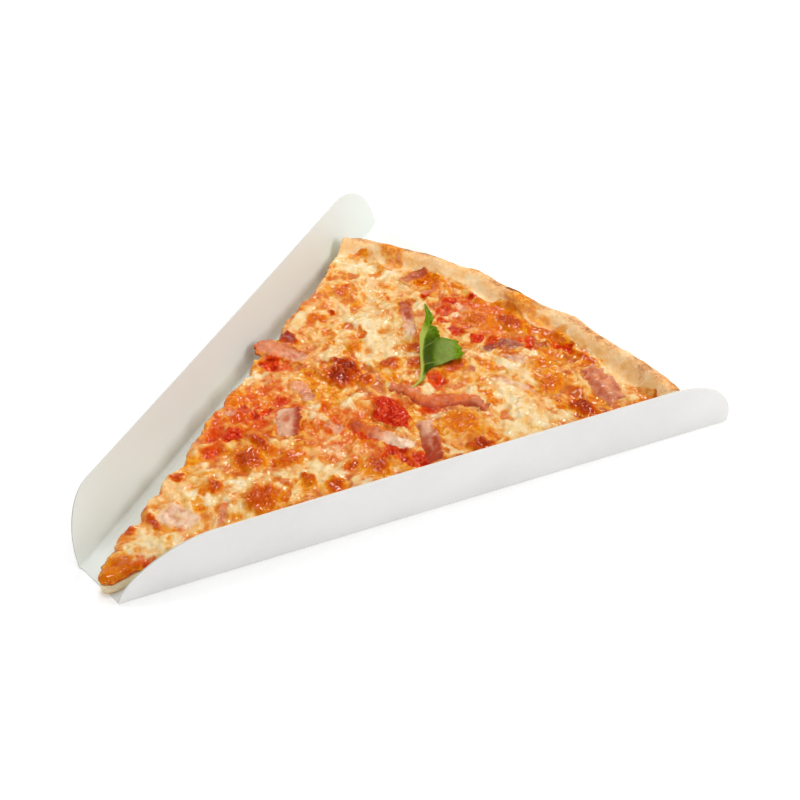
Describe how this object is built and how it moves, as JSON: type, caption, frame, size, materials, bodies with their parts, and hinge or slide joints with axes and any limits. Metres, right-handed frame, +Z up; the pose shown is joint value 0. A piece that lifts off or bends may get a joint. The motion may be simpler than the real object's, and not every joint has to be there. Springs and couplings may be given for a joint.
{
  "type": "pizza slice",
  "caption": "Wedge of thin pizza with a rounded crust, melted cheese, ham strips, tomato, onion and a parsley leaf, lying in a folded white card slice tray.",
  "frame": {"origin": "under the middle of the object, on the surface that the tray stands on", "axes": "+Z up, +Y from the slice's tip to its crust, +X to the right when seen from the tip"},
  "size_m": [0.1843, 0.207, 0.0263],
  "materials": {
    "white_card": "matt white coated board, a little warmer inside",
    "baked_dough": "baked crust, matt with fine pores and toasted spots",
    "tomato_sauce": "wet cooked tomato",
    "melted_cheese": "melted cheese, oily, browned on its blisters",
    "ham": "moist cured ham",
    "pale_ham": "moist fat of the ham",
    "red_onion": "cooked red onion",
    "tomato": "wet tomato flesh",
    "parsley": "fresh leaf, satin"
  },
  "bodies": {
    "root": {"card_tray": "white_card", "dough": "baked_dough", "tomato_sauce": "tomato_sauce", "cheese": "melted_cheese", "ham_tip": "pale_ham", "ham_sliver": "ham", "ham_left_low": "ham", "ham_middle": "ham", "ham_left_edge": "ham", "ham_oval": "ham", "ham_small": "ham", "ham_low": "ham", "ham_ribbon": "ham", "ham_right_edge": "ham", "ham_pale": "pale_ham", "ham_chip": "ham", "ham_crust_right": "ham", "ham_crust_left": "ham", "ham_curl": "ham", "ham_fat": "pale_ham", "onion_red": "red_onion", "onion_pale": "red_onion", "tomato_middle": "tomato", "tomato_left": "tomato", "tomato_rear": "tomato", "parsley_leaf": "parsley"}
  },
  "joints": []
}
